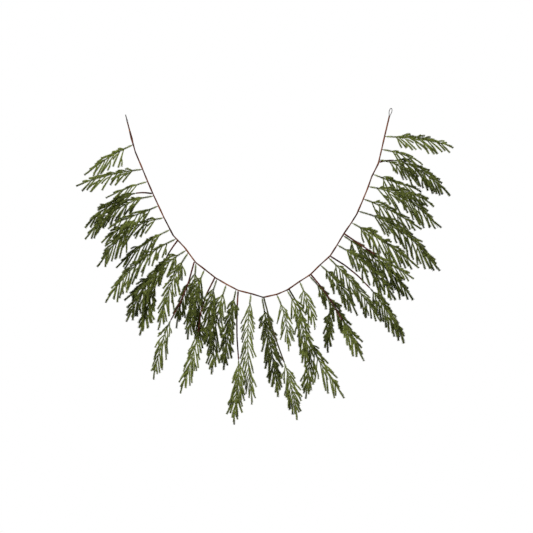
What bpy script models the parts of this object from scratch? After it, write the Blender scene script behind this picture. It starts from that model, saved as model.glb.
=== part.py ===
"""Door garland: artificial fir sprays on a paper-wrapped wire stem, hung in a swag between two wire loops.

Metres, +Z up. The swag hangs in the XZ plane and its front faces -Y.
The origin is where a hook bears, on the underside of the wire at the top of the left loop.
The tables give X and Z in mm from a reference midway between the two loops, level with the right one's top.
"""

import math
import random

import bpy
from mathutils import Vector

MM = 0.001
SEED = 7
TIP_SEED = 107
GAP = 0.3 * MM

# The origin, in mm from the reference of the tables
LEFT_BEARING = (-496.6, -27.5)

# The stem: a wire core in a tube of twisted brown paper, bent by hand into a swag
WIRE_RADIUS = 1.0 * MM
BORE_RADIUS = 1.35 * MM
WRAP_RADIUS = 2.2 * MM
# Both ends of the swag and the bends between them, as X and Z in mm
SWAG = (
    (-497, -26), (-470, -131), (-460, -167), (-435, -226), (-412, -282), (-392, -328),
    (-353, -412), (-318, -480), (-275, -525), (-234, -581), (-200, -607), (-159, -639),
    (-116, -664), (-74, -686), (-22, -699), (20, -712), (73, -700), (112, -683),
    (155, -653), (196, -627), (232, -591), (271, -556), (294, -520), (322, -473),
    (347, -437), (370, -401), (392, -350), (412, -301), (427, -258), (451, -211),
    (463, -160), (475, -107), (500, -2),
)
# Sprays and twigs leave the stem at an even pitch
FIRST_NODE = 117 * MM
NODE_PITCH = 49.7 * MM

# The hanging loops: a hairpin of thin wire whose legs are taped to each end of the stem
LOOP_WIRE_RADIUS = 0.75 * MM
LOOP_HEIGHT = 30 * MM
# Half the width of the hairpin, in mm, at each distance below its top
LOOP_OUTLINE = (
    (0.75, 0), (1.6, 1.8), (4.5, 3.6), (10, 5.0), (17, 4.8), (24, 2.8), (30, 1.25), (60, 1.25),
)
# The left loop is seen edge-on: it is turned about the stem, over a short run above the tape
LEFT_LOOP_TURN = math.radians(80)
TURNING_RUN = 13 * MM
# The tape round the legs: distance below the loop's top, half width and half depth, in mm
TAPE = (
    (30, 3.6, 2.1), (38, 3.8, 2.3), (64, 3.6, 2.2), (84, 3.8, 2.5), (95, 4.3, 3.0), (103, 3.5, 2.5),
)
TAPE_BORE = (2.9 * MM, 1.3 * MM)
TAPE_BORE_DEPTH = 70 * MM
TAPE_END = 108 * MM
BEND_CLEAR = 5 * MM
# The paper's two lengths meet here, measured along the swag
PAPER_PARTING = 1186 * MM
# The core wire begins past the ends of the legs
CORE_START = 64 * MM

# Twigs: brown stems that carry a spray at their end
TWIG_RADIUS = 2.3 * MM
TWIG_TIP_RADIUS = 1.9 * MM
TWIG_BENDS = 3
TWIG_LEAD = 0.5

# Sprays: a slim rachis with pairs of branchlets, each with its needles
RACHIS_HALF = 1.5 * MM
RACHIS_TIP_HALF = 1.15 * MM
CORE_HALF = 1.25 * MM
PAIR_PITCH = 42 * MM
SEAT = 4 * MM
NEEDLE_REACH = 5.6 * MM
NEEDLE_LEAN = 6 * MM
# A branchlet over the first length has three rings of needles, one over the second has two
LONG_BRANCHLET = 104 * MM
SHORT_BRANCHLET = 30 * MM
# Degrees between a branchlet and its rachis, at the spray's foot and near its tip, and how much they vary
SWEEP_START = 34
SWEEP_END = 24
SWEEP_SPREAD = 4
# Degrees more that a branchlet stands off on the side that hangs, and less on the side above
UNDER_SWEEP = 4
# Branchlets grow longer, then shorter, along a spray: half a sine wave from the first share, over the
# second share, to this power
ENVELOPE = (0.24, 0.62, 0.7)
LENGTH_SPREAD = (0.88, 1.06)
TILT_SPREAD = 0.08
# Bare stalk before the first pair, where no table gives it
TIP_SPRAY_BARE = 14
FORK_BARE = 40 * MM
FORK_WIDTH = 0.85
# How straight a stalk leaves its root, as a share of its length, and the straight runs that it is drawn in
SPRAY_LEAD = 0.5
TIP_SPRAY_LEAD = 0.3
FORK_LEAD = 0.35
SPRAY_RUNS = 8
FORK_RUNS = 6
# Branchlets hang: the share of a straight-down direction added at the root and at the tip
DROOP = (0.05, 0.45)
SMOOTH_ANGLE = math.radians(65)

# Sprays lie in layers one behind another, each turned a little about its own rachis
LAYER = 24 * MM
LAYER_RUN = 105 * MM
MOST_TURN = 13
# Branchlets of one spray keep this far apart, measured past the crowded stretch at each root
ROOT_STRETCH = 15 * MM
BRANCHLET_ROOM = 9.4 * MM
RACHIS_ROOM = 6.2 * MM
ROOM_STEP = 6 * MM
# A branchlet that would cross another tries these in turn: slope out of the spray's plane, share of length
WAYS_CLEAR = (
    (0.0, 1.0), (0.14, 1.0), (-0.14, 1.0), (0.28, 0.95), (-0.28, 0.95),
    (0.2, 0.75), (-0.2, 0.75), (0.0, 0.55), (0.1, 0.4),
)

# node: heading off the stem, end X, end Z, layer
TWIGS = {
    4: (-102, -456, -322, -1),
    8: (-40, -349, -572, 1),
    10: (-12, -326, -797, -1),
    12: (-32, -225, -842, 1),
    14: (-5, -73, -945, 0),
    16: (14, 98, -954, -2),
    18: (36, 184, -850, 1),
    20: (42, 315, -797, -1),
    22: (62, 420, -677, 1),
    24: (56, 437, -551, -1),
    30: (108, 510, -197, 1),
}

# name, node, shift along the stem, heading off it, tip X, tip Z, layer, bare length, widest branchlet,
# forks: (pair it leaves at, side, tip X, tip Z, layer from its parent)
SPRAYS = (
    ("spray_00", 0, 0, -66, -652, -255, 0, 34, 80, ()),
    ("spray_02", 2, 0, -84, -686, -298, -1, 32, 72, ()),
    ("spray_03", 3, 0, -76, -577, -343, 1, 34, 66, ()),
    ("spray_04", 4, 9, -84, -652, -496, 2, 46, 72, ()),
    ("spray_05", 5, 0, -66, -566, -446, -2, 34, 78, ()),
    ("spray_06", 6, 0, -84, -600, -602, 0, 30, 84, ((1, 1, -592, -506, 1),)),
    ("spray_07", 7, 0, -66, -536, -602, 2, 40, 76, ()),
    ("spray_08", 8, -8, -66, -570, -733, -1, 38, 80, ()),
    ("spray_09", 9, 0, -62, -491, -806, 0, 36, 84, ((3, -1, -446, -857, 1),)),
    ("spray_09_low", 9, 11, -34, -367, -836, -2, 40, 76, ()),
    ("spray_10", 10, 9, -4, -264, -872, 0, 36, 80, ((0, 1, -310, -830, 1),)),
    ("spray_11", 11, 0, -26, -204, -905, 2, 34, 80, ()),
    ("spray_12", 12, 9, -20, -171, -925, -1, 40, 80, ()),
    ("spray_13", 13, 0, -20, -167, -1003, 0, 36, 86, ()),
    ("spray_14", 14, -9, -12, -128, -985, -1, 38, 72, ()),
    ("spray_15", 15, 0, -8, -17, -1117, 1, 34, 76, ()),
    ("spray_16", 16, -7, 10, 80, -1089, 2, 60, 84, ()),
    ("spray_17", 17, 0, 26, 112, -915, -1, 34, 72, ()),
    ("spray_18", 18, -8, 34, 172, -980, 0, 34, 84, ()),
    ("spray_19", 19, 0, 24, 222, -834, 1, 30, 72, ()),
    ("spray_20", 20, -8, 44, 360, -874, 0, 46, 66, ((2, 1, 258, -922, 1),)),
    ("spray_21", 21, 0, 50, 370, -782, -2, 30, 72, ()),
    ("spray_22", 22, -8, 46, 462, -806, 0, 34, 80, ()),
    ("spray_23", 23, 0, 62, 517, -722, -1, 34, 80, ()),
    ("spray_24", 24, -8, 58, 585, -722, 0, 34, 86, ()),
    ("spray_25", 25, 0, 62, 607, -602, 1, 34, 86, ()),
    ("spray_26", 26, 0, 76, 675, -617, -2, 60, 86, ()),
    ("spray_27", 27, 0, 72, 615, -459, 1, 34, 76, ()),
    ("spray_28", 28, 0, 84, 682, -459, 0, 30, 84, ((1, -1, 667, -366, 1),)),
    ("spray_29", 29, 0, 70, 622, -306, 2, 34, 78, ()),
    ("spray_30", 30, 9, 86, 600, -300, -1, 40, 62, ()),
    ("spray_31", 31, 0, 82, 622, -212, 0, 34, 66, ()),
    ("spray_32", 32, 0, 88, 735, -146, -1, 32, 72, ()),
)

# twig: tip X, tip Z, widest branchlet, forks
TIP_SPRAYS = {
    4: (-652, -448, 84, ()),
    8: (-506, -722, 76, ()),
    10: (-394, -1020, 80, ()),
    12: (-296, -1074, 80, ()),
    14: (-96, -1190, 84, ()),
    16: (150, -1170, 84, ()),
    18: (330, -1089, 84, ((1, 1, 180, -1097, 1),)),
    20: (397, -951, 76, ()),
    22: (557, -883, 80, ()),
    24: (589, -643, 76, ()),
    30: (727, -328, 84, ()),
}


class Shell:
    """The corners and faces of one closed solid."""

    def __init__(self):
        self.corners = []
        self.faces = []

    def ring(self, corners):
        first = len(self.corners)
        self.corners.extend(corners)
        return tuple(range(first, first + len(corners)))

    def band(self, rear, front, drawn=(), skip=()):
        """Two triangles a side between two rings, none with its diagonal at a drawn-out needle tip."""
        count = len(rear)
        for side in range(count):
            if side in skip:
                continue
            after = (side + 1) % count
            a, b, c, d = rear[side], rear[after], front[after], front[side]
            if a in drawn or c in drawn:
                self.faces += [(a, b, d), (b, c, d)]
            else:
                self.faces += [(a, b, c), (a, c, d)]

    def cap(self, ring, front):
        self.faces.append(tuple(ring) if front else tuple(reversed(ring)))

    def point(self, rear, tip):
        """Closes a ring on one point."""
        last = self.ring([tip])[0]
        for side, corner in enumerate(rear):
            self.faces.append((corner, rear[(side + 1) % len(rear)], last))

    def finish(self, name, material, smooth=False):
        mesh = bpy.data.meshes.new(name)
        mesh.from_pydata([tuple(c) for c in self.corners], [], self.faces)
        mesh.materials.append(material)
        mesh.update()
        if smooth:
            mesh.shade_smooth()
            mesh.set_sharp_from_angle(angle=SMOOTH_ANGLE)
        bpy.context.collection.objects.link(bpy.data.objects.new(name, mesh))


def make_material(name, colour, roughness, metallic=0.0):
    made = bpy.data.materials.new(name)
    made.use_nodes = True
    shader = made.node_tree.nodes["Principled BSDF"]
    shader.inputs["Base Color"].default_value = (*colour, 1.0)
    shader.inputs["Roughness"].default_value = roughness
    shader.inputs["Metallic"].default_value = metallic
    return made


def table_point(x, z):
    """The place in the swag's plane that a table gives in mm."""
    return Vector(((x - LEFT_BEARING[0]) * MM, 0, (z - LEFT_BEARING[1]) * MM))


class Stem:
    """The swag's centre line, read by the distance along it from its left end."""

    def __init__(self):
        self.points = [table_point(x, z) for x, z in SWAG]
        self.distances = [0.0]
        for a, b in zip(self.points, self.points[1:]):
            self.distances.append(self.distances[-1] + (b - a).length)
        self.length = self.distances[-1]

    def at(self, distance):
        """The centre at this distance, with the direction of the run that it lies on."""
        run = 0
        while run < len(self.points) - 2 and self.distances[run + 1] < distance:
            run += 1
        a, b = self.points[run], self.points[run + 1]
        along = (b - a).normalized()
        return a + along * (distance - self.distances[run]), along

    def frame(self, distance):
        """The centre, and the directions along and across the stem, turned half-way at a bend."""
        centre, along = self.at(distance)
        after = self.at(min(distance + 2 * MM, self.length))[1]
        along = (along + after).normalized()
        return centre, along, Vector((along.z, 0, -along.x))

    def node(self, number, shift=0.0):
        return self.at(FIRST_NODE + number * NODE_PITCH + shift * MM)


def heading(degrees):
    """A direction in the swag's plane, from straight down, positive to the right."""
    angle = math.radians(degrees)
    return Vector((math.sin(angle), 0, -math.cos(angle)))


def hexagon(centre, across, half_width, half_depth):
    depth = Vector((0, half_depth, 0))
    wide = across * half_width
    return [centre + wide, centre + wide / 2 + depth, centre - wide / 2 + depth,
            centre - wide, centre - wide / 2 - depth, centre + wide / 2 - depth]


def flat_to_flat(radius):
    return radius * math.sqrt(3) / 2


def tape_sizes(below_top):
    """Half width and half depth of the tape's outside and of its bore, this far below a loop's top."""
    outer = (WRAP_RADIUS, flat_to_flat(WRAP_RADIUS))
    inner = (BORE_RADIUS, flat_to_flat(BORE_RADIUS))
    for distance, half_width, half_depth in TAPE:
        if abs(below_top - distance * MM) < 0.5 * MM:
            outer = (half_width * MM, half_depth * MM)
    if below_top <= TAPE_BORE_DEPTH:
        inner = TAPE_BORE
    return outer, inner


def stem_stations(stem):
    """Where the stem's rings lie: the tape's steps at both ends, and every bend between."""
    steps = [distance * MM for distance, _, _ in TAPE] + [TAPE_END]
    ends = steps + [stem.length - step for step in steps]
    first = TAPE_END + BEND_CLEAR
    bends = [distance for distance in stem.distances if first < distance < stem.length - first]
    return sorted(ends + bends)


def build_paper(name, stem, stations, paper):
    """One length of the paper: a tube round the core wire, closed at its two rims."""
    wrap = Shell()
    outer_rings, inner_rings = [], []
    for distance in stations:
        centre, _, across = stem.frame(distance)
        outer, inner = tape_sizes(min(distance, stem.length - distance))
        outer_rings.append(wrap.ring(hexagon(centre, across, *outer)))
        inner_rings.append(wrap.ring(list(reversed(hexagon(centre, across, *inner)))))
    for rings in (outer_rings, inner_rings):
        for rear, front in zip(rings, rings[1:]):
            wrap.band(rear, front)
    for end, front in ((0, False), (-1, True)):
        outer = outer_rings[end]
        mouth = list(reversed(inner_rings[end]))
        for side in range(6):
            after = (side + 1) % 6
            rim = (outer[side], outer[after], mouth[after], mouth[side])
            wrap.faces.append(rim if front else tuple(reversed(rim)))
    wrap.finish(name, paper, smooth=True)


def build_stem(stem, paper, steel):
    """The paper, in two lengths that meet end to end, and the wire in them."""
    stations = stem_stations(stem)
    left = [distance for distance in stations if distance < PAPER_PARTING]
    right = [distance for distance in stations if distance > PAPER_PARTING]
    build_paper("stem_wrap_left", stem, left + [PAPER_PARTING - 0.5 * GAP], paper)
    build_paper("stem_wrap_right", stem, [PAPER_PARTING + 0.5 * GAP] + right, paper)

    core = Shell()
    rings = []
    for distance in stations:
        if min(distance, stem.length - distance) < CORE_START - GAP:
            continue
        centre, _, across = stem.frame(distance)
        rings.append(core.ring(hexagon(centre, across, WIRE_RADIUS, flat_to_flat(WIRE_RADIUS))))
    for rear, front in zip(rings, rings[1:]):
        core.band(rear, front)
    core.cap(rings[0], False)
    core.cap(rings[-1], True)
    core.finish("stem_wire", steel, smooth=True)


def build_loop(name, stem, right_end, turn, steel):
    """A hairpin: up one leg, round the top and down the other leg."""
    one_side = []
    for below, half_width in reversed(LOOP_OUTLINE):
        distance = stem.length - below * MM if right_end else below * MM
        centre, _, across = stem.frame(distance)
        part_turned = turn * min(1.0, max(0.0, (LOOP_HEIGHT - below * MM) / TURNING_RUN))
        side = across * math.cos(part_turned) + Vector((0, math.sin(part_turned), 0))
        one_side.append((centre, side * half_width * MM))
    points = [centre + out for centre, out in one_side]
    points += [centre - out for centre, out in reversed(one_side[:-1])]
    curve = bpy.data.curves.new(name, "CURVE")
    curve.dimensions = "3D"
    curve.bevel_depth = LOOP_WIRE_RADIUS
    curve.bevel_resolution = 1
    curve.use_fill_caps = True
    line = curve.splines.new("POLY")
    line.points.add(len(points) - 1)
    for point, place in zip(line.points, points):
        point.co = (*place, 1.0)
    line.use_smooth = True
    curve.materials.append(steel)
    bpy.context.collection.objects.link(bpy.data.objects.new(name, curve))


def layer_depth(layer, run, length):
    """How far the path stands behind the swag's plane, at this distance from the stem."""
    share = min(1.0, run / min(LAYER_RUN, length))
    return layer * LAYER * share * share * (3 - 2 * share)


def bent_path(start, way, end, layer, count, lead):
    """Points on a curve that leaves start in the direction way and ends at end, eased into its layer."""
    chord = (end - start).length
    pull = start + way * chord * lead
    points = []
    for step in range(count + 1):
        u = step / count
        place = start * (1 - u) ** 2 + pull * 2 * u * (1 - u) + end * u ** 2
        points.append(place + Vector((0, layer_depth(layer, u * chord, chord), 0)))
    return points


def off_stem(stem, node, shift, way, half_thickness):
    """Where a stalk's end face lies so that its nearest corner is a gap clear of the stem."""
    centre, along = stem.node(node, shift)
    slant = abs(along.dot(way))
    square = math.sqrt(1 - slant * slant)
    clear = WRAP_RADIUS + GAP + half_thickness * slant
    return centre + way * (clear / square)


def build_twig(stem, node, bark):
    out, end_x, end_z, layer = TWIGS[node]
    way = heading(out)
    start = off_stem(stem, node, 0, way, TWIG_RADIUS)
    path = bent_path(start, way, table_point(end_x, end_z), layer, TWIG_BENDS, TWIG_LEAD)
    shell = Shell()
    rings = []
    for step, centre in enumerate(path):
        along = (path[min(step + 1, TWIG_BENDS)] - path[max(step - 1, 0)]).normalized()
        if step == 0:
            along = way
        radius = TWIG_RADIUS + (TWIG_TIP_RADIUS - TWIG_RADIUS) * step / TWIG_BENDS
        side = Vector((along.z, 0, -along.x)).normalized()
        up = along.cross(side)
        rings.append(shell.ring([
            centre + (side * math.cos(math.tau * k / 6) + up * math.sin(math.tau * k / 6)) * radius
            for k in range(6)
        ]))
    for rear, front in zip(rings, rings[1:]):
        shell.band(rear, front)
    shell.cap(rings[0], False)
    shell.cap(rings[-1], True)
    shell.finish(f"twig_{node:02d}", bark, smooth=True)
    return path[-1], (path[-1] - path[-2]).normalized()


def square_ring(centre, side, up, half):
    return [centre + side * half + up * half, centre - side * half + up * half,
            centre - side * half - up * half, centre + side * half - up * half]


def crowded(points, placed, room):
    if not placed or not points:
        return False
    return any((p - q).length < room for p in points for q in placed)


def branchlet_path(start, along, side, up, length, rise, droop):
    """Centres and directions at the branchlet's rings, with its tip last. It bends down as it goes out."""
    count = 3 if length > LONG_BRANCHLET else 2 if length > SHORT_BRANCHLET else 1
    shares = [(ring + 0.9) / (count + 0.75) for ring in range(count)] + [1.0]
    places, ways = [start], []
    for before, share in zip([0.0] + shares, shares):
        hang = droop[0] + (droop[1] - droop[0]) * share
        way = (along + up * rise + Vector((0, 0, -hang))).normalized()
        places.append(places[-1] + way * length * (share - before))
        ways.append(way)
    return places[1:], ways, shares


def grow_branchlet(shell, base, path, side):
    """A tapered core with needles drawn out of it at two corners of each ring, turn about."""
    places, ways, shares = path
    drawn = set()
    rear = base
    for ring, (centre, way, share) in enumerate(zip(places[:-1], ways, shares)):
        across = (side - way * side.dot(way)).normalized()
        corners = square_ring(centre, across, way.cross(across), CORE_HALF * (1.0 - 0.25 * share))
        for k in ((0, 2), (1, 3))[ring % 2]:
            outward = (corners[k] - centre).normalized()
            corners[k] = centre + outward * NEEDLE_REACH * (1.0 - 0.2 * share) + way * NEEDLE_LEAN
        front = shell.ring(corners)
        drawn |= {front[k] for k in ((0, 2), (1, 3))[ring % 2]}
        shell.band(rear, front, drawn)
        rear = front
    shell.point(rear, places[-1])


def spaced_points(start, places, skip):
    """Points along a path, leaving out its first stretch, to measure how near others come."""
    points, run = [], 0.0
    for a, b in zip([start] + places, places):
        reach = (b - a).length
        for k in range(int(reach / ROOM_STEP) + 1):
            if run + k * ROOM_STEP >= skip:
                points.append(a.lerp(b, min(1.0, k * ROOM_STEP / reach)))
        run += reach
    return points + [places[-1]]


def walk(path, up, distance):
    """A place on the path with its directions: along, to its side and up out of the spray's plane."""
    run = 0
    while run < len(path) - 2 and distance > (path[run + 1] - path[run]).length:
        distance -= (path[run + 1] - path[run]).length
        run += 1
    share = distance / (path[run + 1] - path[run]).length
    ahead = (path[run + 1] - path[run]).normalized()
    if run:
        before = (path[run] - path[run - 1]).normalized()
        ahead = (before * (1 - share) + ahead * (1 + share)).normalized()
    side = up.cross(ahead).normalized()
    return path[run].lerp(path[run + 1], share), ahead, side, ahead.cross(side)


def grow_rachis(shell, base, path, up, bare, widest, forks, draw, placed):
    """Square rings along the path. A pair of branchlets grows from both side faces of each short stretch."""
    total = sum((b - a).length for a, b in zip(path, path[1:]))
    leafy = total - bare
    pairs = max(2, round(leafy / PAIR_PITCH))
    pitch = leafy / (pairs + 0.7)
    spine = spaced_points(path[0], path[1:], 0)
    rear = base
    if rear is None:
        here, ahead, side, lift = walk(path, up, 0.0)
        rear = shell.ring(square_ring(here, side, lift, RACHIS_HALF))
        shell.cap(rear, False)
    for pair in range(pairs):
        share = pair / pairs
        spot = bare + pitch * pair
        half = RACHIS_HALF + (RACHIS_TIP_HALF - RACHIS_HALF) * (spot / total)
        if pair == 0:
            here, ahead, side, lift = walk(path, up, bare * 0.45)
            middle = shell.ring(square_ring(here, side, lift, half))
            shell.band(rear, middle)
            rear = middle
        here, ahead, side, lift = walk(path, up, spot)
        foot = shell.ring(square_ring(here, side, lift, half))
        shell.band(rear, foot)
        there, _, far_side, far_lift = walk(path, up, spot + SEAT)
        head = shell.ring(square_ring(there, far_side, far_lift, half))
        envelope = math.sin(math.pi * (ENVELOPE[0] + ENVELOPE[1] * share)) ** ENVELOPE[2]
        sweep = SWEEP_START + (SWEEP_END - SWEEP_START) * share
        kept = []
        for hand, face in ((1, 3), (-1, 1)):
            seat = (foot[(face + 1) % 4], head[(face + 1) % 4], head[face], foot[face])
            middle = (here + there) / 2 + side * hand * half
            under = -side.z * hand
            angle = math.radians(
                sweep + UNDER_SWEEP * under + draw.uniform(-SWEEP_SPREAD, SWEEP_SPREAD)
            )
            length = widest * envelope * draw.uniform(*LENGTH_SPREAD)
            tilt = draw.uniform(-TILT_SPREAD, TILT_SPREAD)
            out = ahead * math.cos(angle) + side * hand * math.sin(angle)
            outer = side * hand * math.cos(angle) - ahead * math.sin(angle)
            fork = next((f for f in forks if f[0] == pair and f[1] == hand), None)
            if fork is not None:
                tip = table_point(fork[2], fork[3]) + Vector((0, middle.y, 0))
                limb = bent_path(middle, out, tip, fork[4], FORK_RUNS, FORK_LEAD)
                width = widest * FORK_WIDTH
                grow_rachis(shell, seat, limb, lift * hand, FORK_BARE, width, (), draw, placed)
                kept.append(face)
                continue
            beyond = [p for p in spine if (p - middle).length > ROOT_STRETCH]
            for rise, part in WAYS_CLEAR:
                up_and_out = lift * hand
                reach = length * part
                found = branchlet_path(middle, out, outer, up_and_out, reach, rise + tilt, DROOP)
                points = spaced_points(middle, found[0], ROOT_STRETCH)
                if crowded(points, placed, BRANCHLET_ROOM) or crowded(points, beyond, RACHIS_ROOM):
                    continue
                grow_branchlet(shell, seat, found, outer)
                placed += points
                kept.append(face)
                break
        shell.band(foot, head, skip=kept)
        rear = head
    there, ahead, side, lift = walk(path, up, spot + SEAT)
    last = branchlet_path(there, ahead, side, lift, total - spot - SEAT, 0, (0, 0.2))
    grow_branchlet(shell, rear, last, side)


def build_spray(name, path, way, bare, widest, forks, foliage, draw):
    turn = math.radians(draw.uniform(-MOST_TURN, MOST_TURN))
    level = Vector((0, 1, 0)).cross(way)
    up = Vector((0, math.cos(turn), 0)) + level * math.sin(turn)
    shell = Shell()
    grow_rachis(shell, None, path, up, bare * MM, widest * MM, forks, draw, [])
    shell.finish(name, foliage)


def main():
    for obj in list(bpy.data.objects):
        bpy.data.objects.remove(obj, do_unlink=True)
    steel = make_material("loop_and_core_wire", (0.16, 0.13, 0.11), 0.45, 0.8)
    paper = make_material("brown_paper_tape", (0.16, 0.05, 0.025), 0.85)
    bark = make_material("brown_twig", (0.11, 0.035, 0.02), 0.8)
    foliage = make_material("green_plastic_needles", (0.07, 0.11, 0.03), 0.6)

    stem = Stem()
    build_stem(stem, paper, steel)
    build_loop("loop_left", stem, False, LEFT_LOOP_TURN, steel)
    build_loop("loop_right", stem, True, 0.0, steel)
    for node, (tip_x, tip_z, widest, forks) in TIP_SPRAYS.items():
        end, way = build_twig(stem, node, bark)
        tip = table_point(tip_x, tip_z) + Vector((0, end.y, 0))
        path = bent_path(end + way * GAP, way, tip, 0, SPRAY_RUNS, TIP_SPRAY_LEAD)
        draw = random.Random(TIP_SEED + node)
        build_spray(f"tip_spray_{node:02d}", path, way, TIP_SPRAY_BARE, widest, forks, foliage, draw)
    for name, node, shift, out, tip_x, tip_z, layer, bare, widest, forks in SPRAYS:
        way = heading(out)
        start = off_stem(stem, node, shift, way, RACHIS_HALF)
        path = bent_path(start, way, table_point(tip_x, tip_z), layer, SPRAY_RUNS, SPRAY_LEAD)
        draw = random.Random(SEED + node)
        build_spray(name, path, way, bare, widest, forks, foliage, draw)


main()
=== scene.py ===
"""Door garland: the dressed model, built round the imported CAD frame.

Every spray, twig, loop and the paper wrap of the stem is replaced by a finer piece of the same form.
Metres, +Z up, front towards -Y, origin under the top of the left loop.
"""
import math
import random

import bpy
import numpy as np
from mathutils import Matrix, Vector


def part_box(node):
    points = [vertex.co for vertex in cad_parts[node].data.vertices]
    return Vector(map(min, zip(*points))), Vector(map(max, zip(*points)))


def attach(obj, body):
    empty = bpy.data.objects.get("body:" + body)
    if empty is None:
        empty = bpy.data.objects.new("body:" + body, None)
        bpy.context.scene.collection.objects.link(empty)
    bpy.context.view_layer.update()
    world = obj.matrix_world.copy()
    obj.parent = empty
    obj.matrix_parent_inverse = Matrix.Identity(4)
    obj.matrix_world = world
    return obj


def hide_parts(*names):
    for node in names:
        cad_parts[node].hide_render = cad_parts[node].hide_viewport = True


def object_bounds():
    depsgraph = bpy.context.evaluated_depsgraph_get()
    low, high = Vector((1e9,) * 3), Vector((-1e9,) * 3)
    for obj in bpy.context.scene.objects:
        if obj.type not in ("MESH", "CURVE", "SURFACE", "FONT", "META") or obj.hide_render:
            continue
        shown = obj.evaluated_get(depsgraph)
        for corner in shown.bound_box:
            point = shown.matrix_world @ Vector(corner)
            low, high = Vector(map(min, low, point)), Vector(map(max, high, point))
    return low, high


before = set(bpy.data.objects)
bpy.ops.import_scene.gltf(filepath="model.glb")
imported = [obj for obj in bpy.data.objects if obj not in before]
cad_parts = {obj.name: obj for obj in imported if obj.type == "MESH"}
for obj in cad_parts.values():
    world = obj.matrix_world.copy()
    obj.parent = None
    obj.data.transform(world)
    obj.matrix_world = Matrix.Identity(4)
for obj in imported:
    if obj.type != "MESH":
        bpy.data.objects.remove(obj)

cad_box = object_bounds()

MM = 0.001
# What is mounted on the stem or on a twig keeps this far off it
GAP = 0.3 * MM

# Camera: a long lens straight in front of the swag, whose picture is this wide in the swag's plane
VIEW_WIDTH = 1.99875
CAMERA_DISTANCE = 9.0
FARTHEST_SEEN = 60.0
SENSOR = 36.0
# The middle of the picture, as X and Z
VIEW_CENTRE = (0.5285, -0.5688)
# The white backdrop is seen at full strength and lights the object at this one
DOME_STRENGTH = 0.46
# name, place, size, power
LIGHTS = (
    ("key", (-1.6, -3.2, 1.8), 1.4, 180),
    ("fill", (2.2, 2.6, 1.2), 2.0, 45),
)
FLOOR_SIDES = 96
FLOOR_RADIUS = 1.2
FLOOR_LEVEL = -1.74

# The swag's route and the tips of what hangs from it are in mm from a point midway between the loops.
# The scene's origin lies here in those measures
LEFT_BEARING = (-496.6, -27.5)
SWAG = (
    (-497, -26), (-470, -131), (-460, -167), (-435, -226), (-412, -282), (-392, -328),
    (-353, -412), (-318, -480), (-275, -525), (-234, -581), (-200, -607), (-159, -639),
    (-116, -664), (-74, -686), (-22, -699), (20, -712), (73, -700), (112, -683),
    (155, -653), (196, -627), (232, -591), (271, -556), (294, -520), (322, -473),
    (347, -437), (370, -401), (392, -350), (412, -301), (427, -258), (451, -211),
    (463, -160), (475, -107), (500, -2),
)
# Seeds of the sprays on the stem, and of those at the twigs' ends
SEED = 7
TIP_SEED = 107
# Sprays and twigs leave the stem at an even pitch
FIRST_NODE = 117 * MM
NODE_PITCH = 49.7 * MM
# The stem's direction at a place is the mean of those there and this far on
FRAME_STEP = 2 * MM
WRAP_RADIUS = 2.2 * MM
LOOP_WIRE_RADIUS = 0.75 * MM
TWIG_RADIUS = 2.3 * MM
TWIG_TIP_RADIUS = 1.9 * MM
# A thin line looks paler in the render than in the photo, and paper and bark are uneven, so the paper, the
# twigs and the loop wire are this many times as thick as their CAD solids
PAPER_THICKER = 1.26
TWIG_THICKER = 1.35
WIRE_THICKER = 1.8

# The hanging loops: half the width of the hairpin, in mm, at each distance below its top
LOOP_HEIGHT = 30 * MM
LOOP_OUTLINE = (
    (0.75, 0), (1.6, 1.8), (4.5, 3.6), (10, 5.0), (17, 4.8), (24, 2.8), (30, 1.25), (60, 1.25),
)
# The left loop is seen edge-on: it is turned about the stem, over a short run above the tape
LEFT_LOOP_TURN = math.radians(80)
TURNING_RUN = 13 * MM
WIRE_STEP = 0.6 * MM
WIRE_ROUNDS = 5
WIRE_SIDES = 10

# The tape round the legs: distance below the loop's top, half width and half depth, in mm. The photo shows
# it slimmer in places than its CAD solid, which has to enclose the legs
TAPE = (
    (30, 2.5, 2.1), (38, 2.7, 2.3), (64, 2.9, 2.2), (80, 3.6, 2.5), (93, 4.2, 3.0), (101, 3.4, 2.5),
)
TAPE_END = 108 * MM
# Half the width of the tape at the right end, which is wound evenly
RIGHT_TAPE = 2.9 * MM
# The tape is tinted dark round a place this far from the stem's end, fading over a run, less so on the right
TINT_AT = 60 * MM
TINT_RUN = 55 * MM
TINT = 0.8
RIGHT_TINT = 0.45
END_TINT = 0.3
# A painted highlight, a small orange glint, shows on the left tape, this far from the stem's end
GLINT_AT = 62 * MM
GLINT_RUN = 2.6 * MM
# The paper bunches up and thins out along the stem, by this share, in two waves
STEM_UNEVEN = 0.16
STEM_WAVES = (173 * MM, 61 * MM)
# It is wound in a helix, whose overlaps stand out by a share of the radius, and is wrinkled
PAPER_STEP = 1.25 * MM
PAPER_ROUNDS = 14
PAPER_SIDES = 14
LAP_PITCH = 9 * MM
LAP_HEIGHT = 0.07
WRINKLE = 0.02
WRINKLE_PITCH = 2.3 * MM
WRINKLE_SKEW = 3

TWIG_BENDS = 3
TWIG_LEAD = 0.5
TWIG_STEP = 4 * MM
TWIG_ROUNDS = 8
TWIG_SIDES = 8
BARK_ROUGH = (-0.07, 0.09)
# Two twigs near the foot of the swag are nearly as green as their sprays: this share of green bark
GREEN_TWIGS = {16: 0.8, 18: 0.8}
GREEN_BARK = (0.040, 0.050, 0.014)

# The rule of the sprays, with the values of their CAD solids
RACHIS_HALF = 1.5 * MM
RACHIS_TIP_HALF = 1.15 * MM
PAIR_PITCH = 42 * MM
FEWEST_PAIRS = 2
# A rachis runs on past its last pair by this share of the pitch
LAST_RUN = 0.7
SEAT = 4 * MM
# A solid's branchlet has three, two or one bends by its length, spaced by these two values
LONG_BRANCHLET = 104 * MM
SHORT_BRANCHLET = 30 * MM
FIRST_BEND = 0.9
BENDS_OVER = 0.75
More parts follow.
